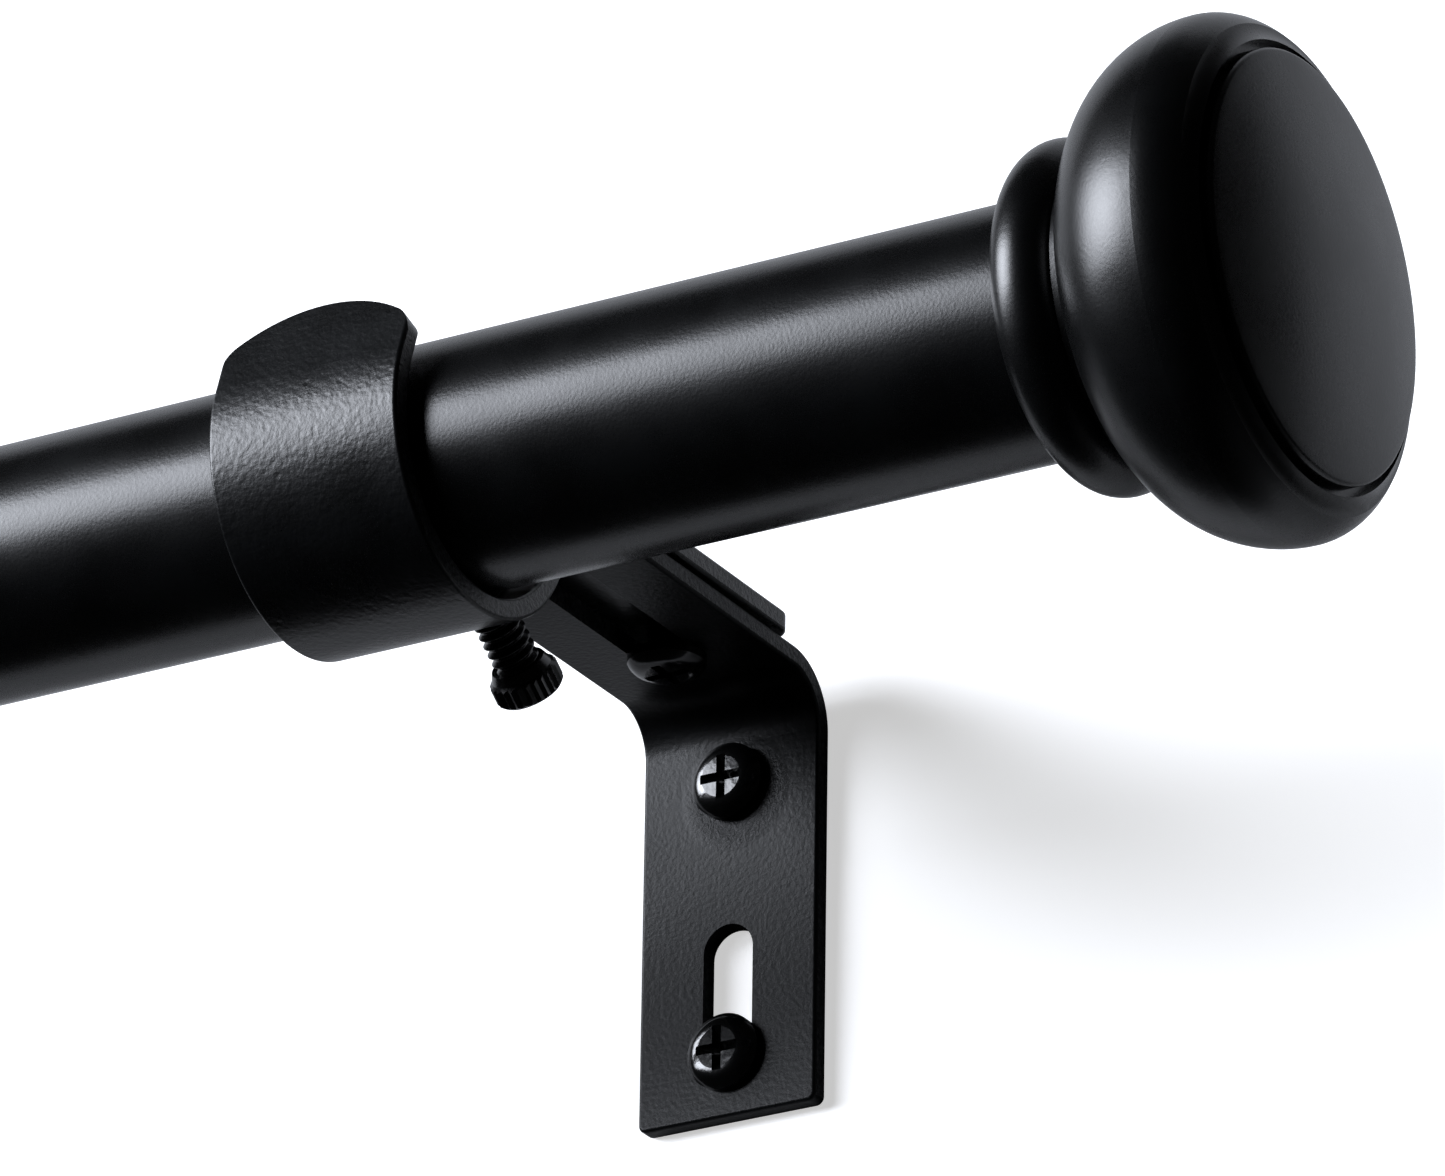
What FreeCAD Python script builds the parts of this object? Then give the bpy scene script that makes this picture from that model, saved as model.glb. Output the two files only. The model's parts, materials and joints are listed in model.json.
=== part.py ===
import FreeCAD, Part
import math
import os

V = FreeCAD.Vector

# Telescoping curtain rod on two adjustable J-hook wall brackets.
# Frame: +X along the rod to the right, +Y into the wall, +Z up.
# The origin is the centre of the four wall screws, on the wall's surface (Y = 0).
# All sizes are in millimetres.

# Rod
outer_diameter = 25.4
tube_wall = 0.7
rod_length = 711.0
outer_tube_length = 600.0
inner_tube_length = 600.0
overhang = 79.3
plug_length = 18.0
ring_insert_length = 14.0
ring_lip = 1.2
glide_length = 25.0

# Wall plate: the slotted leg on the wall and the slotted arm over it
plate_width = 20.8
plate_thickness = 2.2
plate_bend_inside = 5.0
screw_spacing = 30.0
arm_above_upper_screw = 9.2
leg_below_lower_screw = 6.8
leg_slot_up = 11.4
arm_slot_wall_margin = 4.5
arm_slot_end_margin = 4.5
leg_corner = 0.9
strip_corner = 2.0
edge_round = 0.4

# Holder: one strip bent to a flat tail, a round hook and a flat tongue in front
projection = 69.5
rod_below_arm = 2.8
holder_width = 21.5
holder_thickness = 2.3
holder_bend_inside = 2.0
hook_bore_clearance = 1.6
hook_lean = 30.0
tail_beyond_screw = 7.0
tongue_lean = 18.0
tongue_length = 8.3
tongue_crown_radius = 16.0
tongue_corner = 3.6

# Screws
wall_screw_radius = 2.1
wall_screw_neck_radius = 1.8
wall_screw_grip = 28.0
wall_screw_tip = 6.0
wall_screw_point = 0.3
pan_head_radius = 4.1
pan_head_height = 2.1
pan_skirt_height = 0.95
pan_shoulder_radius = 3.0
pan_shoulder_height = 1.9
pan_crown_radius = 2.25
recess_width = 1.05
recess_radius = 2.5
recess_foot_radius = 0.4
recess_depth = 1.7
upper_recess_turn = 24.0
lower_recess_turn = 33.0
clamp_recess_turn = 15.0
clamp_screw_radius = 2.08
clamp_screw_beyond = 1.2
thumb_radius = 2.4
thumb_side_offset = 4.4
thumb_angle = 36.0
thumb_visible = 5.5
knob_radius = 3.6
knob_height = 3.5
knob_shoulder = 0.9
knob_bevel = 0.4
knob_neck_radius = 2.8
knob_teeth = 26
knurl_depth = 0.22

# Finial, with stations along the rod counted from the collar's face
finial_screw_radius = 3.0
finial_screw_engaged = 12.0
finial_head_radius = 5.5
finial_head_height = 3.3
finial_head_round = 1.0
head_bore_clearance = 1.0
socket_depth = 4.0
socket_lip = 0.25
collar_width = 6.8
collar_radius = 17.4
collar_step = 0.4
fillet_ring_width = 1.0
fillet_ring_radius = 15.6
bulb_step = 0.4
bulb_rise = 12.8
bulb_radius = 25.6
ridge_run = 4.3
ridge_drop = 1.9
slope_run = 1.0
slope_drop = 1.75
slope_sag = 0.15
groove_width = 0.9
groove_depth = 1.1
face_proud = 0.8
face_dome = 1.8
face_edge_round = 0.5
face_ledge = 4.05
spigot_depth = 4.6
web_thickness = 10.0

# Fits and gaps
tube_clearance = 0.9
screw_hole_clearance = 0.3
leg_slot_clearance = 0.8
arm_slot_clearance = 1.32
slide_gap = 0.4
head_gap = 0.1
thread_clearance = 0.05
fit_clearance = 0.05
telescope_clearance = 0.1
seat_gap = 0.2
tip_gap = 0.1
socket_clearance = 0.15
end_gap = 0.3
slot_end_gap = 0.3
arm_to_hook = 0.6

# Holes and slots for the screws
screw_hole_radius = wall_screw_radius + screw_hole_clearance
leg_slot_width = 2 * (wall_screw_radius + leg_slot_clearance)
arm_slot_width = 2 * (clamp_screw_radius + arm_slot_clearance)

# Finial stations and radii, outwards from the fillet ring
bulb_start_radius = fillet_ring_radius + bulb_step
bulb_crest = collar_width + fillet_ring_width + bulb_rise
ridge = bulb_crest + ridge_run
ridge_radius = bulb_radius - ridge_drop
lip = ridge + slope_run
lip_radius = ridge_radius - slope_drop
face_radius = lip_radius - groove_width
face_rim = lip + face_proud
spigot_radius = face_radius - face_ledge

# Rod stations
outer_radius = outer_diameter / 2
inner_radius = outer_radius - tube_wall - tube_clearance
bracket_x = rod_length / 2 - overhang
right_end = rod_length / 2
left_end = -rod_length / 2
mouth_x = right_end - outer_tube_length
inner_end_x = left_end + inner_tube_length

# Heights
upper_screw_z = screw_spacing / 2
lower_screw_z = -screw_spacing / 2
arm_bottom_z = upper_screw_z + arm_above_upper_screw
arm_top_z = arm_bottom_z + plate_thickness
rod_z = arm_bottom_z - rod_below_arm
rod_y = -projection
leg_bottom_z = lower_screw_z - leg_below_lower_screw

# Hook geometry: the ring's centre stands off the rod so that the rod seats low in front
ring_inside = outer_radius + hook_bore_clearance
ring_middle = ring_inside + holder_thickness / 2
lean = math.radians(hook_lean)
seat_shift = hook_bore_clearance - seat_gap
ring_centre = V(0, rod_y + seat_shift * math.sin(lean), rod_z + seat_shift * math.cos(lean))
strip_bottom_z = arm_top_z + slide_gap
strip_middle_z = strip_bottom_z + holder_thickness / 2
strip_top_z = strip_bottom_z + holder_thickness
bend_middle = holder_bend_inside + holder_thickness / 2
bend_z = strip_middle_z - bend_middle
bend_reach = math.sqrt((bend_middle + ring_middle) ** 2 - (bend_z - ring_centre.z) ** 2)
bend_centre = V(0, ring_centre.y + bend_reach, bend_z)

# The tongue leans over the rod, towards the wall
tongue_tilt = math.radians(tongue_lean)
tongue_out = V(0, -math.cos(tongue_tilt), math.sin(tongue_tilt))
tongue_up = V(0, math.sin(tongue_tilt), math.cos(tongue_tilt))

# Arm, slot and clamp screw
plate_bend_outside = plate_bend_inside + plate_thickness
slot_wall_end = -(plate_bend_outside + arm_slot_wall_margin)
clamp_y = slot_wall_end - slot_end_gap - arm_slot_width / 2
tail_y = clamp_y + tail_beyond_screw
arm_front_y = bend_centre.y + arm_to_hook
slot_front_end = arm_front_y + arm_slot_end_margin
projection_travel = clamp_y - slot_front_end - arm_slot_width / 2 - slot_end_gap

# Thumb screw line, square to the hook and through the rod's axis
thumb_tilt = math.radians(thumb_angle)
thumb_axis = V(0, math.cos(thumb_tilt), -math.sin(thumb_tilt))


def arc(start, middle, end):
    """An arc edge through three points."""
    return Part.Arc(start, middle, end).toShape()


def line(start, end):
    """A straight edge."""
    return Part.LineSegment(start, end).toShape()


def face_of(edges):
    """A flat face inside a closed run of edges."""
    return Part.Face(Part.Wire(edges))


def outline(points):
    """A flat face inside a closed polygon."""
    return Part.Face(Part.makePolygon(points + [points[0]]))


def path(points):
    """Straight edges through a run of points."""
    return [line(start, end) for start, end in zip(points, points[1:])]


def turned(face):
    """A solid of revolution about the X axis, from a face in the XY plane."""
    return face.revolve(V(0, 0, 0), V(1, 0, 0), 360)


def aimed(shape, place, axis):
    """A shape built along +X, laid along another axis at a place."""
    moved = shape.copy()
    moved.Placement = FreeCAD.Placement(place, FreeCAD.Rotation(V(1, 0, 0), axis))
    return moved


def rod(radius, start, end):
    """A cylinder on the rod's axis between two stations."""
    return Part.makeCylinder(radius, end - start, V(start, rod_y, rod_z), V(1, 0, 0))


def rounded(solid, radius, chosen):
    """A solid with the edges that pass a test rounded over."""
    edges = [edge for edge in solid.Edges if chosen(edge)]
    return solid.makeFillet(radius, edges)


def along(edge, direction):
    """True for a straight edge parallel to a direction."""
    if not isinstance(edge.Curve, Part.Line):
        return False
    return abs(abs(edge.Curve.Direction.dot(direction)) - 1) < 1e-6


def upright_slot(width, low, high, depth):
    """A round-ended cutter that runs up the leg, through its thickness."""
    radius = width / 2
    body = Part.makeBox(width, depth, high - low - width, V(-radius, -depth / 2, low + radius))
    for end in (low + radius, high - radius):
        body = body.fuse(Part.makeCylinder(radius, depth, V(0, -depth / 2, end), V(0, 1, 0)))
    return body


def arm_slot(width, front, back, depth, height):
    """A round-ended cutter that runs along the arm, through its thickness."""
    radius = width / 2
    low = height - depth / 2
    body = Part.makeBox(width, back - front - width, depth, V(-radius, front + radius, low))
    for end in (front + radius, back - radius):
        body = body.fuse(Part.makeCylinder(radius, depth, V(0, end, low), V(0, 0, 1)))
    return body


def wall_plate():
    """The L-shaped plate: a leg against the wall and an arm out from its top."""
    front = -plate_thickness
    bend = V(0, -plate_bend_outside, arm_top_z - plate_bend_outside)
    diagonal = math.sqrt(0.5)
    outer_middle = bend + V(0, plate_bend_outside, plate_bend_outside) * diagonal
    inner_middle = bend + V(0, plate_bend_inside, plate_bend_inside) * diagonal
    back_low = V(0, 0, leg_bottom_z)
    front_low = V(0, front, leg_bottom_z)
    tip_top = V(0, arm_front_y, arm_top_z)
    tip_low = V(0, arm_front_y, arm_bottom_z)
    edges = [
        line(back_low, V(0, 0, bend.z)),
        arc(V(0, 0, bend.z), outer_middle, V(0, bend.y, arm_top_z)),
        line(V(0, bend.y, arm_top_z), tip_top),
        line(tip_top, tip_low),
        line(tip_low, V(0, bend.y, arm_bottom_z)),
        arc(V(0, bend.y, arm_bottom_z), inner_middle, V(0, front, bend.z)),
        line(V(0, front, bend.z), front_low),
        line(front_low, back_low),
    ]
    plate = face_of(edges).extrude(V(plate_width, 0, 0))
    plate.translate(V(-plate_width / 2, 0, 0))
    plate = rounded(plate, leg_corner, lambda edge: along(edge, V(0, 1, 0)) and edge.Length < 5)
    plate = rounded(plate, strip_corner, lambda edge: along(edge, V(0, 0, 1)) and edge.Length < 5)
    plate = rounded(plate, edge_round, on_plate_rim)
    depth = 4 * plate_thickness
    slot_low = lower_screw_z - leg_slot_width / 2
    slot_high = slot_low + leg_slot_width + leg_slot_up
    hole = Part.makeCylinder(screw_hole_radius, depth, V(0, -depth / 2, upper_screw_z), V(0, 1, 0))
    plate = plate.cut(upright_slot(leg_slot_width, slot_low, slot_high, depth)).cut(hole)
    return plate.cut(arm_slot(arm_slot_width, slot_front_end, slot_wall_end, depth, arm_bottom_z))


def on_plate_rim(edge):
    """True for the edges along both flanks of the plate's strip."""
    box = edge.BoundBox
    return abs(abs(box.Center.x) - plate_width / 2) < 1e-6 and box.XLength < 1e-6


def hook_side(offset):
    """One surface line of the holder, offset from the strip's middle, from tail to tongue."""
    to_ring = (ring_centre - bend_centre).normalize()
    bend_radius = bend_middle + offset
    ring_radius = ring_middle - offset
    tail = V(0, tail_y, strip_middle_z + offset)
    bend_start = bend_centre + V(0, 0, bend_radius)
    bend_half = bend_centre + (V(0, 0, 1) + to_ring).normalize() * bend_radius
    joint = bend_centre + to_ring * bend_radius
    bottom = ring_centre + V(0, 0, -ring_radius)
    front = ring_centre + tongue_out * ring_radius
    tip = front + tongue_up * tongue_length
    edges = [
        line(tail, bend_start),
        arc(bend_start, bend_half, joint),
        arc(joint, bottom, front),
        line(front, tip),
    ]
    return edges, tail, tip


def tongue_waste():
    """What is trimmed off the end of the strip to leave a crowned tongue with rounded corners."""
    half = holder_width / 2
    depth = 2 * ring_middle
    drop = tongue_crown_radius - math.sqrt(tongue_crown_radius ** 2 - half ** 2)
    left = V(-half, 0, tongue_length - drop)
    right = V(half, 0, tongue_length - drop)
    edges = path([right, V(half, 0, -tongue_length), V(-half, 0, -tongue_length), left])
    edges.append(arc(left, V(0, 0, tongue_length), right))
    kept = face_of(edges).extrude(V(0, -depth, 0))
    kept = rounded(kept, tongue_corner, on_tongue_corner)
    block = Part.makeBox(2 * holder_width, depth, 2 * tongue_length, V(-holder_width, -depth, 0))
    waste = block.cut(kept).rotated(V(0, 0, 0), V(1, 0, 0), -tongue_lean)
    return waste.translated(ring_centre)


def on_tongue_corner(edge):
    """True for the two corners at the tongue's top, before it is leaned."""
    return along(edge, V(0, 1, 0)) and edge.CenterOfMass.z > 0


def holder():
    """The strip that carries the rod: flat tail, round hook and tongue, tapped for two screws."""
    top_edges, top_tail, top_tip = hook_side(holder_thickness / 2)
    low_edges, low_tail, low_tip = hook_side(-holder_thickness / 2)
    edges = top_edges + [line(top_tip, low_tip)] + low_edges[::-1] + [line(low_tail, top_tail)]
    strip = Part.Face(Part.Wire(Part.__sortEdges__(edges))).extrude(V(holder_width, 0, 0))
    strip.translate(V(-holder_width / 2, 0, 0))
    strip = rounded(strip, strip_corner, lambda edge: along(edge, V(0, 0, 1)) and edge.Length < 3)
    strip = rounded(strip, edge_round, on_holder_rim)
    strip = strip.cut(tongue_waste())
    depth = 3 * holder_thickness
    clamp_start = V(0, clamp_y, strip_middle_z - depth / 2)
    clamp_hole = Part.makeCylinder(clamp_screw_radius + thread_clearance, depth, clamp_start, V(0, 0, 1))
    thumb_start = thumb_point(outer_radius)
    thumb_hole = Part.makeCylinder(thumb_radius + thread_clearance, depth, thumb_start, thumb_axis)
    return strip.cut(clamp_hole).cut(thumb_hole)


def on_holder_rim(edge):
    """True for the edges along both flanks of the holder's strip."""
    box = edge.BoundBox
    return abs(abs(box.Center.x) - holder_width / 2) < 1e-6 and box.XLength < 1e-6


def pan_head():
    """A cross-recessed pan head along +X, with its bearing face at X = 0."""
    skirt = V(pan_skirt_height, pan_head_radius, 0)
    shoulder = V(pan_shoulder_height, pan_shoulder_radius, 0)
    crown = V(pan_head_height, pan_crown_radius, 0)
    edges = path([crown, V(pan_head_height, 0, 0), V(0, 0, 0), V(0, pan_head_radius, 0), skirt])
    edges.append(arc(skirt, shoulder, crown))
    return turned(face_of(edges)).cut(cross_recess())


def cross_recess():
    """The cutter for a tapered cross recess in a pan head."""
    floor = pan_head_height - recess_depth
    half = recess_width / 2
    cone = Part.makeCone(recess_foot_radius, recess_radius, recess_depth, V(floor, 0, 0), V(1, 0, 0))
    wide = Part.makeBox(recess_depth, 2 * recess_radius, recess_width, V(floor, -recess_radius, -half))
    tall = Part.makeBox(recess_depth, recess_width, 2 * recess_radius, V(floor, -half, -recess_radius))
    return wide.fuse(tall).common(cone)


def wood_screw():
    """A pan-head wood screw along +X: a neck through the plate, then the thread to a point."""
    thread_end = wall_screw_tip - wall_screw_grip
    neck_start = V(-plate_thickness, 0, 0)
    neck = Part.makeCylinder(wall_screw_neck_radius, plate_thickness, neck_start, V(1, 0, 0))
    thread_length = -plate_thickness - thread_end
    thread = Part.makeCylinder(wall_screw_radius, thread_length, V(thread_end, 0, 0), V(1, 0, 0))
    start = V(thread_end, 0, 0)
    point = Part.makeCone(wall_screw_radius, wall_screw_point, wall_screw_tip, start, V(-1, 0, 0))
    return pan_head().fuse(neck).fuse(thread).fuse(point)


def machine_screw(radius, length):
    """A pan-head screw along +X, with its shank running back from the head."""
    return pan_head().fuse(Part.makeCylinder(radius, length, V(-length, 0, 0), V(1, 0, 0)))


def spun(shape, angle):
    """A shape turned about the X axis."""
    return shape.rotated(V(0, 0, 0), V(1, 0, 0), angle)


def wall_screws():
    """The two screws that hold one plate to the wall."""
    screws = []
    for height, turn in ((upper_screw_z, upper_recess_turn), (lower_screw_z, lower_recess_turn)):
        screws.append(aimed(spun(wood_screw(), turn), V(0, -plate_thickness, height), V(0, -1, 0)))
    return Part.makeCompound(screws)


def clamp_screw():
    """The screw from below, through the arm's slot and into the holder's tail."""
    length = strip_top_z + clamp_screw_beyond - arm_bottom_z + head_gap
    screw = spun(machine_screw(clamp_screw_radius, length), clamp_recess_turn)
    return aimed(screw, V(0, clamp_y, arm_bottom_z - head_gap), V(0, 0, -1))


def thumb_point(distance):
    """A point on the thumb screw's line, at a distance from the rod's axis along it."""
    return V(thumb_side_offset, rod_y, rod_z) + thumb_axis * distance


def thumb_stem(tube_radius):
    """The thumb screw's threaded stem, from its tip at the tube to its knob."""
    return Part.makeCylinder(thumb_radius, stem_length(), thumb_point(tube_radius + tip_gap), thumb_axis)


def stem_length():
    """Stem from the rod, through the hook, to the knob's thread side."""
    return hook_bore_clearance + holder_thickness + thumb_visible


def thumb_knob(tube_radius):
    """The knurled head, with a smooth shoulder on its thread side."""
    step = math.pi / knob_teeth
    points = []
    for index in range(2 * knob_teeth):
        radius = knob_radius - knurl_depth * (index % 2)
        points.append(V(0, radius * math.cos(index * step), radius * math.sin(index * step)))
    wheel = outline(points).extrude(V(knob_height, 0, 0))
    worn_radius = knob_radius - knob_bevel
    shell = turned(outline([
        V(0, 0, 0),
        V(0, knob_neck_radius, 0),
        V(knob_shoulder, worn_radius, 0),
        V(knob_shoulder + knob_bevel, knob_radius, 0),
        V(knob_height - knob_bevel, knob_radius, 0),
        V(knob_height, worn_radius, 0),
        V(knob_height, 0, 0),
    ]))
    return aimed(wheel.common(shell), thumb_point(tube_radius + tip_gap + stem_length()), thumb_axis)


def tube(radius, start, end):
    """A thin tube between two stations."""
    return rod(radius, start, end).cut(rod(radius - tube_wall, start, end))


def mouth_ring():
    """The plastic ring in the outer tube's mouth that the inner tube slides through."""
    insert_end = mouth_x + ring_insert_length
    plain = rod(outer_radius - tube_wall - fit_clearance, mouth_x, insert_end)
    flange = rod(outer_radius, mouth_x - ring_lip, mouth_x)
    hole = rod(inner_radius + telescope_clearance, mouth_x - ring_lip, insert_end)
    return plain.fuse(flange).cut(hole)


def tube_glide():
    """The plastic glide on the inner tube's hidden end: a spigot in it and a collar that slides."""
    start = inner_end_x - glide_length / 2
    end = inner_end_x + glide_length / 2
    collar = rod(outer_radius - tube_wall - telescope_clearance, inner_end_x, end)
    spigot = rod(inner_radius - tube_wall - fit_clearance, start, inner_end_x)
    return collar.fuse(spigot).cut(rod(inner_radius / 2, start, end))


def end_plug(tube_radius):
    """The plastic plug along -X from its end face at X = 0, tapped for the finial's screw."""
    start = V(-plug_length, 0, 0)
    plain = Part.makeCylinder(tube_radius - tube_wall - fit_clearance, plug_length, start, V(1, 0, 0))
    tapped = finial_screw_radius + thread_clearance
    return plain.cut(Part.makeCylinder(tapped, plug_length, start, V(1, 0, 0)))


def finial_outside():
    """The finial's outside line, from the collar's face over the bulb to the groove's brim."""
    collar_face = V(0, outer_radius + socket_clearance + socket_lip, 0)
    collar_end = V(collar_width, fillet_ring_radius - collar_step, 0)
    ring_start = V(collar_width, fillet_ring_radius, 0)
    ring_end = V(collar_width + fillet_ring_width, fillet_ring_radius, 0)
    bulb_start = V(ring_end.x, bulb_start_radius, 0)
    crest = V(bulb_crest, bulb_radius, 0)
    ridge_point = V(ridge, ridge_radius, 0)
    brim = V(lip, lip_radius, 0)
    slope_middle = (ridge_point + brim) * 0.5 - V(slope_sag, slope_sag, 0)
    edges = [arc(collar_face, V(collar_width / 2, collar_radius, 0), collar_end)]
    edges += path([collar_end, ring_start, ring_end, bulb_start])
    edges.append(arc(bulb_start, crest_side(bulb_start, crest), crest))
    edges.append(arc(crest, crest_side(ridge_point, crest), ridge_point))
    edges.append(arc(ridge_point, slope_middle, brim))
    return edges, collar_face, brim


def finial_body(tube_radius):
    """The turned finial: collar bead, fillet ring, round bulb and stepped seat for its face."""
    bore = tube_radius + socket_clearance
    hole = finial_screw_radius + thread_clearance
    head_bore = finial_head_radius + head_bore_clearance
    seat = face_seat()
    spigot_floor = seat - spigot_depth
    head_seat = socket_depth + web_thickness
    edges, collar_face, brim = finial_outside()
    edges += path([
        brim,
        V(seat, brim.y, 0),
        V(seat, spigot_radius, 0),
        V(spigot_floor, spigot_radius, 0),
        V(spigot_floor, head_bore, 0),
        V(head_seat, head_bore, 0),
        V(head_seat, hole, 0),
        V(socket_depth, hole, 0),
        V(socket_depth, bore, 0),
        V(0, bore, 0),
        collar_face,
    ])
    return turned(face_of(edges))


def face_seat():
    """Station of the groove floor that the face sits on."""
    return lip - groove_depth


def crest_side(foot, crest):
    """A point halfway round the arc that leaves the bulb's crest along the axis and ends at the foot."""
    run = foot.x - crest.x
    fall = crest.y - foot.y
    radius = (run ** 2 + fall ** 2) / (2 * fall)
    half = math.atan2(abs(run), radius - fall) / 2
    side = math.copysign(radius * math.sin(half), run)
    return V(crest.x + side, crest.y - radius + radius * math.cos(half), 0)


def finial_face():
    """The domed disc that closes the finial, with the spigot that holds it."""
    seat = face_seat()
    spigot = spigot_radius - fit_clearance
    dome = (face_radius ** 2 + face_dome ** 2) / (2 * face_dome)
    half = math.asin(face_radius / dome) / 2
    rim = V(face_rim, face_radius, 0)
    dome_middle = V(face_rim + face_dome - dome + dome * math.cos(half), dome * math.sin(half), 0)
    pole = V(face_rim + face_dome, 0, 0)
    foot = V(seat - spigot_depth, 0, 0)
    edges = path([pole, foot, foot + V(0, spigot, 0), V(seat, spigot, 0), V(seat, face_radius, 0), rim])
    edges.append(arc(rim, dome_middle, pole))
    return rounded(turned(face_of(edges)), face_edge_round, on_face_rim)


def on_face_rim(edge):
    """True for the edge between the finial face's flank and its dome."""
    box = edge.BoundBox
    return abs(box.XMin - face_rim) < 1e-3 and box.YLength > face_radius


def finial_screw():
    """The screw that holds the finial to the plug, with its head under the face."""
    seat = socket_depth + web_thickness
    tip = socket_depth - finial_screw_engaged
    shank = Part.makeCylinder(finial_screw_radius, seat - tip, V(tip, 0, 0), V(1, 0, 0))
    head = Part.makeCylinder(finial_head_radius, finial_head_height, V(seat, 0, 0), V(1, 0, 0))
    far_end = seat + finial_head_height
    head = rounded(head, finial_head_round, lambda edge: abs(edge.BoundBox.XMin - far_end) < 1e-3)
    return shank.fuse(head)


def at_end(shape, side, shift):
    """A shape built along +X, placed on the rod's right (+1) or left (-1) end."""
    end = right_end if side > 0 else left_end
    return aimed(shape, V(end + side * shift, rod_y, rod_z), V(side, 0, 0))


def build():
    """Every piece of the rod and its two brackets, by node name."""
    nodes = {}
    for name, side, radius in (("right", 1, outer_radius), ("left", -1, inner_radius)):
        place = V(side * bracket_x, 0, 0)
        bracket = {
            "wall_plate": wall_plate(),
            "wall_screws": wall_screws(),
            "holder": holder(),
            "clamp_screw": clamp_screw(),
            "thumb_stem": thumb_stem(radius),
            "thumb_knob": thumb_knob(radius),
        }
        for piece, shape in bracket.items():
            nodes[name + "_" + piece] = shape.translated(place)
        nodes[name + "_end_plug"] = at_end(end_plug(radius), side, 0)
        finial = {"screw": finial_screw(), "body": finial_body(radius), "face": finial_face()}
        for piece, shape in finial.items():
            nodes[name + "_finial_" + piece] = at_end(shape, side, end_gap - socket_depth)
    nodes["outer_tube"] = tube(outer_radius, mouth_x, right_end)
    nodes["inner_tube"] = tube(inner_radius, left_end, inner_end_x)
    nodes["mouth_ring"] = mouth_ring()
    nodes["tube_glide"] = tube_glide()
    return nodes


os.makedirs("parts", exist_ok=True)
for node, shape in build().items():
    shape.exportStep("parts/" + node + ".step")
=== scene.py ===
import json
import math

import bpy
from mathutils import Matrix, Vector


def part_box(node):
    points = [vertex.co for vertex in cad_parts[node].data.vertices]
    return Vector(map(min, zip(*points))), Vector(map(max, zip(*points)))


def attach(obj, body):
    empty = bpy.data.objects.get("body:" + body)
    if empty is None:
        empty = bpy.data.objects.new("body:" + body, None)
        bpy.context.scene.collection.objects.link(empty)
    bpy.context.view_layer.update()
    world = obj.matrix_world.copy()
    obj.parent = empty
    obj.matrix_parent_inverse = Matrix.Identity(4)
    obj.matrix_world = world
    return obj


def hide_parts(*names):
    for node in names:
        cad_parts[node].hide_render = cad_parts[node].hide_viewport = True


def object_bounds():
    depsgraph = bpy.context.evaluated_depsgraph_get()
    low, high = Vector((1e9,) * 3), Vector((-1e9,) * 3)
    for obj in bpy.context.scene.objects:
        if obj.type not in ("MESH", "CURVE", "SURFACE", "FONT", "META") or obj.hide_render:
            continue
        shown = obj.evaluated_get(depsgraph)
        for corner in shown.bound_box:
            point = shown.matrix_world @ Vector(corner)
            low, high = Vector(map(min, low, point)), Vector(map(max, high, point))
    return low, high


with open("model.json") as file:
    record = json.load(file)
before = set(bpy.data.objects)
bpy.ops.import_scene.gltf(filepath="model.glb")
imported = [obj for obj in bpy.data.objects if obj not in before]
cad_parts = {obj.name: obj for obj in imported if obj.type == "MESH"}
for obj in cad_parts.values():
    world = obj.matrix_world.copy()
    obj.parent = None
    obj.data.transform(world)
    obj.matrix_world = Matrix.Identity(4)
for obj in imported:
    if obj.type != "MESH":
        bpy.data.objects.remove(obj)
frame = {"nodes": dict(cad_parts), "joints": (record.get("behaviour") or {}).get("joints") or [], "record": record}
cad_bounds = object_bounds()
nodes = frame["nodes"]
record = frame["record"]
joints = {joint["name"]: joint for joint in frame["joints"]}

# Everything is in metres, in the frame of the CAD model:
# +X along the rod to the right, +Y into the wall, +Z up, with the wall's surface at Y = 0.
MM = 0.001

# Camera: where it stands round the right bracket, and its lens
CAMERA_AZIMUTH = 30.53
CAMERA_ELEVATION = -24.29
CAMERA_ROLL = 0.88
CAMERA_DISTANCE = 1032.3 * MM
CAMERA_AIM_RIGHT = 32.89 * MM
CAMERA_AIM_DOWN = 10.13 * MM
CAMERA_LENS = 262.03
CAMERA_SENSOR = 36.0
CAMERA_NEAR = CAMERA_DISTANCE / 10
CAMERA_FAR = 20.0

# Pieces turned and threaded here
CREASE = 40.0
FACE_DOME = 1.8 * MM
FACE_ROUND = 0.5 * MM
FACE_LEDGE = 4.1 * MM
FACE_SPIGOT = 4.6 * MM
FACE_ROUND_STEPS = 8
FACE_STEPS = 24
FACE_COUNT = 144
THREAD_PITCH = 25.4 / 24 * MM
THREAD_DEPTH = 0.5 * MM
THREAD_TIP = 0.6 * MM
THREAD_ROWS = 14
THREAD_COUNT = 48
THREAD_SLOPE = 2.6
THREAD_CREST = 0.15

# Scuffed paint under the upper screw of the right plate
SCUFF_RIGHT = 0.6 * MM
SCUFF_DOWN = 1.3 * MM
PLATE_THICKNESS = 2.2 * MM

SCUFF_INSIDE = 4.6 * MM
SCUFF_OUTSIDE = 6.4 * MM
SCUFF_SIZE = 0.45 * MM
SCUFF_DEPTH = 0.12 * MM

# Powder coat: slow changes, pinholes, and the changes in gloss round a finish's own
SLOW_SIZE = 9 * MM
SLOW_LOW, SLOW_HIGH = 0.3, 0.7
PIN_SPACING = 5
PIN_EDGE = 0.14
# How far the pinholes are darkened: painted shade in the pits
PIN_SHADE = 0.6
GLOSS_DOWN, GLOSS_UP = 0.02, 0.03
GRAIN_LOW, GRAIN_HIGH = 0.35, 0.75
GRAIN_GLOSS = 0.06
PLAIN_SHINE = 0.28

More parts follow.
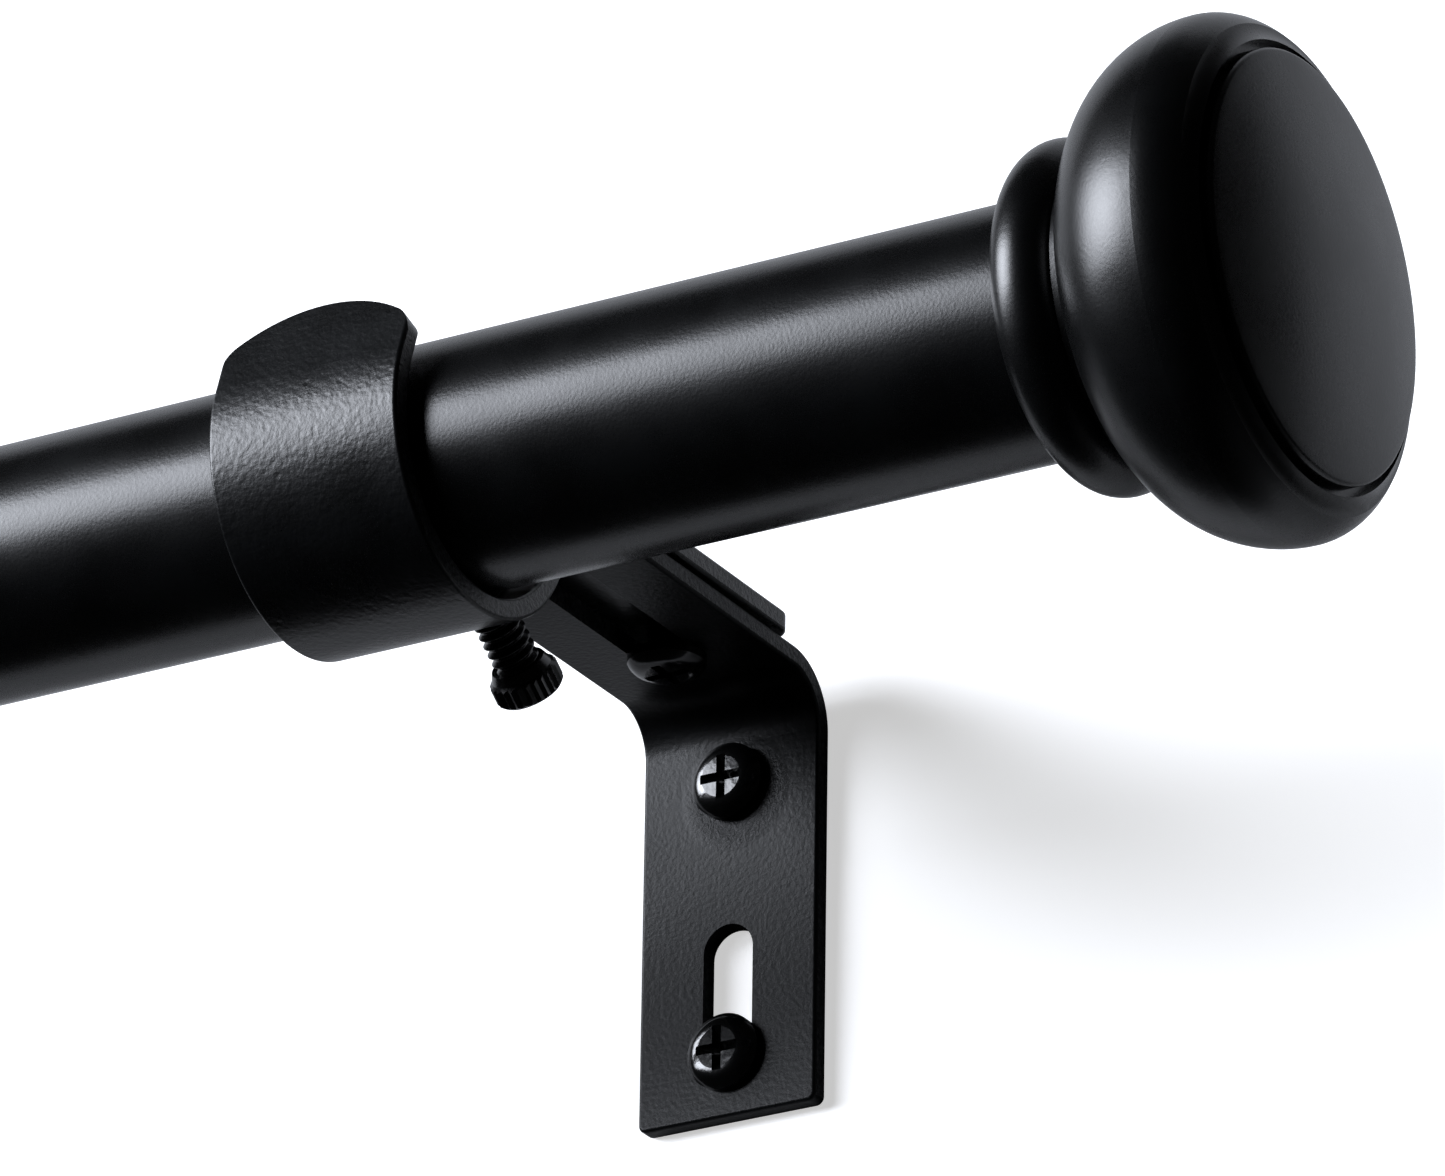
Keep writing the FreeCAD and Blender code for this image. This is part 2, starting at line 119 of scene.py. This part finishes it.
# Sheared edges of the strips, found by how squarely they face along the rod
EDGE_FROM, EDGE_TO = 0.93, 0.99
EDGE_SIZE = 0.5 * MM
EDGE_DEPTH = 0.16 * MM
EDGE_LOW, EDGE_HIGH = 0.4, 0.65
EDGE_TONE = 0.03
EDGE_BLUE = 1.05
EDGE_GLOSS = 0.12

# Zinc plating
ZINC_DARK = (0.5, 0.51, 0.53, 1)
ZINC_LIGHT = (0.64, 0.64, 0.62, 1)
ZINC_SLOW = 2 * MM
ZINC_GRAIN = 0.2 * MM
ZINC_DEPTH = 0.004 * MM
ZINC_GLOSS_LOW, ZINC_GLOSS_HIGH = 0.22, 0.38

# Sockets of Blender's colour mix that share a name with others
MIX_FIRST, MIX_SECOND, MIX_COLOUR = 6, 7, 2

# Stage
WALL_MARGIN = 50 * MM
WALL_TOP = 500 * MM
WALL_BOTTOM = -80 * MM
WALL_GAP = 0.1 * MM
WALL_SEEN = 0.72
WALL_LIT = 0.44
WALL_GLOW = 0.56
FLOOR_SEEN = 0.8
FLOOR_LIT = 0.4
FLOOR_GLOW = 0.5
FLOOR_DROP = 1.5
FLOOR_SIZE = 6.0
FILL_LEVEL = 0.012

# Lamps
KEY_AZIMUTH = -49.0
KEY_ELEVATION = 17.0
KEY_DISTANCE = 1.3
KEY_WIDTH = 1.2
KEY_HEIGHT = 0.72
KEY_SPREAD = 60.0
KEY_POWER = 9.2
KEY_COLOUR = (0.94, 0.98, 1.07)


def centre(node):
    """The middle of a CAD node's box."""
    low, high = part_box(node)
    return (low + high) / 2


# Places read from the frame
rod_middle = centre("outer_tube")
bracket = Vector((centre("right_holder").x, rod_middle.y, rod_middle.z))


def direction(azimuth, elevation):
    """A unit vector from the object: azimuth 0 is towards the room, 90 towards +X."""
    a, e = math.radians(azimuth), math.radians(elevation)
    return Vector((math.sin(a) * math.cos(e), -math.cos(a) * math.cos(e), math.sin(e)))


def add(name, data):
    """A new object in the scene."""
    made = bpy.data.objects.new(name, data)
    bpy.context.scene.collection.objects.link(made)
    return made


# ---------------------------------------------------------------- camera

def make_camera():
    """The camera at the photograph's viewing angle, below the rod and to its right."""
    back = direction(CAMERA_AZIMUTH, CAMERA_ELEVATION)
    level = Vector((0, 0, 1)).cross(back).normalized()
    rise = back.cross(level)
    roll = math.radians(CAMERA_ROLL)
    right = level * math.cos(roll) + rise * math.sin(roll)
    up = rise * math.cos(roll) - level * math.sin(roll)
    aim = bracket + right * CAMERA_AIM_RIGHT - up * CAMERA_AIM_DOWN
    camera = add("camera", bpy.data.cameras.new("camera"))
    turn = Matrix((right, up, back)).transposed()
    camera.matrix_world = Matrix.Translation(aim + back * CAMERA_DISTANCE) @ turn.to_4x4()
    camera.data.sensor_width = CAMERA_SENSOR
    camera.data.lens = CAMERA_LENS
    camera.data.clip_start = CAMERA_NEAR
    camera.data.clip_end = CAMERA_FAR
    bpy.context.scene.camera = camera


# ---------------------------------------------------------------- materials

class Nodes:
    """A node tree with short ways to add and join nodes."""

    def __init__(self, tree):
        self.tree = tree
        tree.nodes.clear()

    def add(self, kind, **settings):
        """A new node with its settings."""
        made = self.tree.nodes.new(kind)
        for name, value in settings.items():
            setattr(made, name, value)
        return made

    def feed(self, socket, value):
        """Sets an input from a value or from another node's output."""
        if isinstance(value, bpy.types.NodeSocket):
            self.tree.links.new(value, socket)
        else:
            socket.default_value = value

    def put(self, node, **values):
        """Feeds inputs by name, with _ for a space."""
        for name, value in values.items():
            self.feed(node.inputs[name.replace("_", " ")], value)
        return node

    def noise(self, where, size, detail=2.0, rough=0.5):
        """Noise with features of about a size in metres."""
        made = self.put(self.add("ShaderNodeTexNoise"), Vector=where, Scale=1 / size)
        return self.put(made, Detail=detail, Roughness=rough).outputs["Fac"]

    def span(self, value, low, high, to_low, to_high):
        """A value carried from one range to another, and held inside it."""
        made = self.add("ShaderNodeMapRange", clamp=True)
        self.put(made, Value=value, From_Min=low, From_Max=high, To_Min=to_low, To_Max=to_high)
        return made.outputs["Result"]

    def sum(self, operation, *values):
        """The result of a sum on values and other nodes' outputs."""
        made = self.add("ShaderNodeMath", operation=operation)
        for socket, value in zip(made.inputs, values):
            self.feed(socket, value)
        return made.outputs[0]

    def bump(self, height, depth, normal=None, invert=False):
        """A normal bumped by a height of a depth in metres, over another normal."""
        made = self.put(self.add("ShaderNodeBump", invert=invert), Height=height, Distance=depth)
        if normal is not None:
            self.put(made, Normal=normal)
        return made.outputs["Normal"]

    def mix(self, factor, first, second):
        """A shader between two shaders."""
        made = self.add("ShaderNodeMixShader")
        for socket, value in zip(made.inputs, (factor, first.outputs[0], second.outputs[0])):
            self.feed(socket, value)
        return made

    def blend(self, factor, first, second):
        """A colour between two colours."""
        made = self.add("ShaderNodeMix", data_type="RGBA")
        self.feed(made.inputs["Factor"], factor)
        self.feed(made.inputs[MIX_FIRST], first)
        self.feed(made.inputs[MIX_SECOND], second)
        return made.outputs[MIX_COLOUR]


def new_material(name):
    """A material and its node tree."""
    material = bpy.data.materials.new(name)
    material.use_nodes = True
    return material, Nodes(material.node_tree)


def grey(level, blue=1.0):
    """A near-neutral colour."""
    return (level, level * (1 + blue) / 2, level * blue, 1.0)


def coated(name, dark, light, rough, peel, peel_depth, grain, grain_depth, pits=0.0,
           shine=PLAIN_SHINE, sheared=False, scuffs=()):
    """Black powder coat: orange peel, fine grain and pinholes, with painted shade darkening the pinholes, and slow
    changes in tone and gloss.
    A sheared strip has rough grey edges, and a scuffed one is roughened round the places given."""
    material, n = new_material(name)
    texture = n.add("ShaderNodeTexCoord")
    where = texture.outputs["Object"]
    slow = n.noise(where, SLOW_SIZE, 3.0)
    fine = n.noise(where, grain, 3.0, 0.6)
    orange = n.noise(where, peel, 2.0, 0.45)
    pins = n.put(n.add("ShaderNodeTexVoronoi"), Vector=where, Scale=1 / (PIN_SPACING * peel))
    hole = n.span(pins.outputs["Distance"], 0.0, PIN_EDGE, 1.0, 0.0)
    tone = n.blend(n.span(slow, SLOW_LOW, SLOW_HIGH, 0.0, 1.0), dark, light)
    # Pinholes darkened toward the dark tone: painted shade in the pits
    colour = n.blend(n.span(hole, 0.0, 1.0, 0.0, PIN_SHADE), tone, dark)
    gloss = n.span(slow, SLOW_LOW, SLOW_HIGH, rough - GLOSS_DOWN, rough + GLOSS_UP)
    speck = n.span(fine, GRAIN_LOW, GRAIN_HIGH, 0.0, 1.0)
    gloss = n.sum("MULTIPLY_ADD", speck, GRAIN_GLOSS, gloss)
    normal = n.bump(orange, peel_depth)
    normal = n.bump(fine, grain_depth, normal)
    normal = n.bump(hole, pits, normal, invert=True)
    if sheared:
        facing = n.put(n.add("ShaderNodeSeparateXYZ"), Vector=texture.outputs["Normal"]).outputs["X"]
        edge = n.span(n.sum("ABSOLUTE", facing), EDGE_FROM, EDGE_TO, 0.0, 1.0)
        torn = n.noise(where, EDGE_SIZE, 4.0, 0.65)
        normal = n.bump(n.sum("MULTIPLY", torn, edge), EDGE_DEPTH, normal)
        worn = n.span(torn, EDGE_LOW, EDGE_HIGH, 0.0, 1.0)
        colour = n.blend(n.sum("MULTIPLY", edge, worn), colour, grey(EDGE_TONE, EDGE_BLUE))
        gloss = n.sum("MULTIPLY_ADD", edge, EDGE_GLOSS, gloss)
    for place in scuffs:
        away = n.add("ShaderNodeVectorMath", operation="DISTANCE")
        n.feed(away.inputs[0], where)
        n.feed(away.inputs[1], place)
        near = n.span(away.outputs["Value"], SCUFF_INSIDE, SCUFF_OUTSIDE, 1.0, 0.0)
        flaked = n.noise(where, SCUFF_SIZE, 4.0, 0.7)
        normal = n.bump(n.sum("MULTIPLY", flaked, near), SCUFF_DEPTH, normal)
    shader = n.add("ShaderNodeBsdfPrincipled")
    n.put(shader, Base_Color=colour, Roughness=gloss, Normal=normal, Specular_IOR_Level=shine)
    n.put(n.add("ShaderNodeOutputMaterial"), Surface=shader.outputs["BSDF"])
    return material


def zinc():
    """Bright zinc plating with faint turning marks."""
    material, n = new_material("zinc_plating")
    where = n.add("ShaderNodeTexCoord").outputs["Object"]
    slow = n.noise(where, ZINC_SLOW, 3.0)
    fine = n.noise(where, ZINC_GRAIN, 2.0)
    gloss = n.span(slow, SLOW_LOW, SLOW_HIGH, ZINC_GLOSS_LOW, ZINC_GLOSS_HIGH)
    shader = n.put(n.add("ShaderNodeBsdfPrincipled"), Metallic=1.0, Roughness=gloss)
    n.put(shader, Base_Color=n.blend(slow, ZINC_DARK, ZINC_LIGHT), Normal=n.bump(fine, ZINC_DEPTH))
    n.put(n.add("ShaderNodeOutputMaterial"), Surface=shader.outputs["BSDF"])
    return material


def make_finishes():
    """The finish of each of the record's material slots."""
    return {
        "steel_strip": coated(
            "strip_powder_coat", dark=grey(0.0010, 1.2), light=grey(0.0026, 1.25), rough=0.27,
            peel=0.62 * MM, peel_depth=0.050 * MM, grain=0.16 * MM, grain_depth=0.006 * MM,
            pits=0.03 * MM, sheared=True),
        "tube_black": coated(
            "tube_powder_coat", dark=grey(0.0007, 1.2), light=grey(0.0016, 1.25), rough=0.245,
            peel=0.34 * MM, peel_depth=0.013 * MM, grain=0.11 * MM, grain_depth=0.0035 * MM,
            pits=0.004 * MM),
        "finial_black": coated(
            "finial_enamel", dark=grey(0.0008, 1.2), light=grey(0.0018, 1.2), rough=0.26,
            peel=0.40 * MM, peel_depth=0.010 * MM, grain=0.12 * MM, grain_depth=0.003 * MM,
            pits=0.003 * MM),
        "screw_black": coated(
            "screw_gloss_black", dark=grey(0.0008, 1.1), light=grey(0.002, 1.1), rough=0.14,
            peel=0.7 * MM, peel_depth=0.02 * MM, grain=0.12 * MM, grain_depth=0.0015 * MM,
            shine=0.4),
        "thumb_black": coated(
            "thumb_screw_black", dark=grey(0.001, 1.1), light=grey(0.0025, 1.1), rough=0.2,
            peel=0.45 * MM, peel_depth=0.01 * MM, grain=0.1 * MM, grain_depth=0.002 * MM,
            shine=0.4),
        "plastic_black": coated(
            "moulded_plastic", dark=grey(0.003, 1.0), light=grey(0.006, 1.0), rough=0.46,
            peel=0.6 * MM, peel_depth=0.006 * MM, grain=0.14 * MM, grain_depth=0.004 * MM),
        "zinc_screw": zinc(),
    }


def shaded_plate_finish():
    """The wall plates' coat: rougher than the holders', with a lower specular level as painted shade for the
    plates' darker look, and scuffed under the right upper screw.
    """
    low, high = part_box("right_wall_screws")
    head = (high.x - low.x) / 2
    below = ((low.x + high.x) / 2 + SCUFF_RIGHT, -PLATE_THICKNESS, high.z - head - SCUFF_DOWN)
    return coated(
        "plate_powder_coat_painted_shade", dark=grey(0.0010, 1.2), light=grey(0.0024, 1.25), rough=0.34,
        peel=0.55 * MM, peel_depth=0.035 * MM, grain=0.15 * MM, grain_depth=0.005 * MM,
        # shine is lowered well below the strip coat's: painted shade on the plates
        pits=0.012 * MM, shine=0.115, sheared=True, scuffs=[below])


def paint_nodes(finishes):
    """Gives every CAD node its slot's finish."""
    plate = shaded_plate_finish()
    for part in record["subparts"]:
        mesh = nodes[part["node"]].data
        finish = finishes[part["material_slot"]]
        # The plates get the copy of the coat with painted shade
        if part["node"].endswith("_plate"):
            finish = plate
        if not mesh.materials:
            mesh.materials.append(finish)
        for index in range(len(mesh.materials)):
            mesh.materials[index] = finish


# ---------------------------------------------------------------- turned and threaded pieces

def closed_grid(name, rings, first, last):
    """A closed mesh from rings of points, with a fan to a point at each end."""
    count = len(rings[0])
    points = [first] + [point for ring in rings for point in ring] + [last]
    faces = []
    for step in range(count):
        after = (step + 1) % count
        faces.append((0, 1 + after, 1 + step))
        for row in range(len(rings) - 1):
            here, there = 1 + row * count, 1 + (row + 1) * count
            faces.append((here + step, here + after, there + after, there + step))
        end = 1 + (len(rings) - 1) * count
        faces.append((end + step, end + after, len(points) - 1))
    mesh = bpy.data.meshes.new(name)
    mesh.from_pydata([tuple(point) for point in points], [], faces)
    mesh.shade_smooth()
    mesh.set_sharp_from_angle(angle=math.radians(CREASE))
    return add(name, mesh)


def square_to(axis):
    """Two unit vectors square to an axis and to each other."""
    first = axis.orthogonal().normalized()
    return first, axis.cross(first)


def ring_at(place, axis, reaches):
    """A ring of points round an axis, one for each reach from it."""
    first, second = square_to(axis)
    ring = []
    for step, reach in enumerate(reaches):
        angle = 2 * math.pi * (step / len(reaches))
        ring.append(place + (first * math.cos(angle) + second * math.sin(angle)) * reach)
    return ring


def axis_of(joint_name):
    """A joint's place and its axis."""
    joint = joints[joint_name]
    return Vector(joint["pos_m"]), Vector(joint["axis"]).normalized()


def face_profile(radius):
    """Radius and height over the rim for a domed disc with a round edge, from the rim to the dome."""
    ball = (radius ** 2 + FACE_DOME ** 2) / (2 * FACE_DOME)
    sunk = FACE_DOME - ball
    hub = radius - FACE_ROUND
    up = sunk + math.sqrt((ball - FACE_ROUND) ** 2 - hub ** 2)
    limit = math.acos(hub / (ball - FACE_ROUND))
    profile = []
    for step in range(FACE_ROUND_STEPS + 1):
        angle = limit * step / FACE_ROUND_STEPS
        profile.append((hub + FACE_ROUND * math.cos(angle), up + FACE_ROUND * math.sin(angle)))
    for step in range(1, FACE_STEPS):
        reach = math.cos(limit) * ball * (1 - step / FACE_STEPS)
        profile.append((reach, sunk + math.sqrt(ball ** 2 - reach ** 2)))
    return profile


def finial_face(side):
    """The domed disc pressed into a finial, turned smooth."""
    node = side + "_finial_face"
    hub, axis = axis_of(side + "_finial_turn")
    low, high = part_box(node)
    reaches = sorted(((low - hub).dot(axis), (high - hub).dot(axis)))
    radius = (high.y - low.y) / 2
    rim = reaches[1] - FACE_DOME
    stations = [(radius - FACE_LEDGE, reaches[0]), (radius - FACE_LEDGE, reaches[0] + FACE_SPIGOT),
                (radius, reaches[0] + FACE_SPIGOT)]
    stations += [(reach, rim + height) for reach, height in face_profile(radius)]
    rings = [ring_at(hub + axis * along, axis, [reach] * FACE_COUNT) for reach, along in stations]
    made = closed_grid(side + "_face_disc", rings, hub + axis * reaches[0], hub + axis * reaches[1])
    finish_piece(made, side + "_finial", node, "finial_black")


def thread_reach(along, turn, crest):
    """How far a thread's surface lies from its axis, along it from the tip and at a turn round it."""
    phase = (along / THREAD_PITCH - turn) % 1.0
    slope = min(1.0, max(0.0, THREAD_SLOPE * abs(phase - 0.5) - THREAD_CREST))
    limit = crest - max(0.0, THREAD_TIP - along)
    return min(limit, crest - THREAD_DEPTH * slope)


def thumb_thread(side):
    """A thumb screw's stem with its thread, one start, crest as wide as the stem."""
    node = side + "_thumb_stem"
    hub, axis = axis_of(side + "_thumb_turn")
    places = [(vertex.co - hub).dot(axis) for vertex in nodes[node].data.vertices]
    start, end = min(places), max(places)
    low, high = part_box(node)
    crest = (high.x - low.x) / 2
    rows = round((end - start) / THREAD_PITCH * THREAD_ROWS)
    rings = []
    for row in range(rows + 1):
        along = (end - start) * row / rows
        reaches = [thread_reach(along, step / THREAD_COUNT, crest) for step in range(THREAD_COUNT)]
        rings.append(ring_at(hub + axis * (start + along), axis, reaches))
    made = closed_grid(side + "_thumb_thread", rings, hub + axis * start, hub + axis * end)
    finish_piece(made, side + "_thumb_stem", node, "thumb_black")


def finish_piece(piece, body, node, slot):
    """A new piece takes a node's place, body and finish."""
    piece.data.materials.append(finishes[slot])
    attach(piece, body)
    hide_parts(node)


# ---------------------------------------------------------------- stage and light

def plane(name, corner, along, across, material):
    """A flat rectangle from a corner along two edges."""
    points = [corner, corner + along, corner + along + across, corner + across]
    mesh = bpy.data.meshes.new(name)
    mesh.from_pydata([tuple(point) for point in points], [], [(0, 1, 2, 3)])
    mesh.materials.append(material)
    made = add(name, mesh)
    return made


def pale(name, seen_level, lit_level, glow):
    """Plain pale paint that shows white to the camera, keeps the object's shadow, and is seen
    through from behind. The camera sees seen_level, and the object is lit by lit_level."""
    material, n = new_material(name)
    paint = n.put(n.add("ShaderNodeBsdfDiffuse"), Color=grey(seen_level))
    dull = n.put(n.add("ShaderNodeBsdfDiffuse"), Color=grey(lit_level))
    shine = n.put(n.add("ShaderNodeEmission"), Strength=glow)
    both = n.add("ShaderNodeAddShader")
    n.feed(both.inputs[0], paint.outputs[0])
    n.feed(both.inputs[1], shine.outputs[0])
    seen = n.mix(n.add("ShaderNodeLightPath").outputs["Is Camera Ray"], dull, both)
    behind = n.add("ShaderNodeNewGeometry").outputs["Backfacing"]
    surface = n.mix(behind, seen, n.add("ShaderNodeBsdfTransparent"))
    n.put(n.add("ShaderNodeOutputMaterial"), Surface=surface.outputs[0])
    return material


def make_stage():
    """The wall behind the brackets and a floor well below them."""
    low, high = cad_bounds
    start = low[0] - WALL_MARGIN
    wall = pale("wall_paint", WALL_SEEN, WALL_LIT, WALL_GLOW)
    plane("wall", Vector((start, WALL_GAP, WALL_BOTTOM)), Vector((high[0] + WALL_MARGIN - start, 0, 0)),
          Vector((0, 0, WALL_TOP - WALL_BOTTOM)), wall)
    floor = pale("floor_paint", FLOOR_SEEN, FLOOR_LIT, FLOOR_GLOW)
    plane("floor", Vector((-FLOOR_SIZE / 2, -FLOOR_SIZE / 2, -FLOOR_DROP)), Vector((FLOOR_SIZE, 0, 0)),
          Vector((0, FLOOR_SIZE, 0)), floor)


def area_lamp(name, azimuth, elevation, distance, width, height, power, colour, spread):
    """A softbox round the right bracket, facing it."""
    data = bpy.data.lights.new(name, "AREA")
    data.shape = "RECTANGLE"
    data.size, data.size_y = width, height
    data.energy = power
    data.color = colour
    data.spread = math.radians(spread)
    lamp = add(name, data)
    away = direction(azimuth, elevation)
    side = Vector((0, 0, 1)).cross(away).normalized()
    turn = Matrix((side, away.cross(side), away)).transposed()
    lamp.matrix_world = Matrix.Translation(bracket + away * distance) @ turn.to_4x4()


def make_world():
    """White to the camera, a dim even fill for the object."""
    world = bpy.data.worlds.new("studio")
    bpy.context.scene.world = world
    world.use_nodes = True
    n = Nodes(world.node_tree)
    white = n.put(n.add("ShaderNodeBackground"), Color=grey(1.0), Strength=1.0)
    fill = n.put(n.add("ShaderNodeBackground"), Color=grey(1.0), Strength=FILL_LEVEL)
    seen = n.mix(n.add("ShaderNodeLightPath").outputs["Is Camera Ray"], fill, white)
    n.put(n.add("ShaderNodeOutputWorld"), Surface=seen.outputs[0])


make_camera()
finishes = make_finishes()
paint_nodes(finishes)
for side in ("right", "left"):
    finial_face(side)
    thumb_thread(side)
make_stage()
area_lamp("key", KEY_AZIMUTH, KEY_ELEVATION, KEY_DISTANCE, KEY_WIDTH, KEY_HEIGHT, KEY_POWER,
          KEY_COLOUR, KEY_SPREAD)
make_world()
bpy.context.scene.view_settings.view_transform = "Standard"
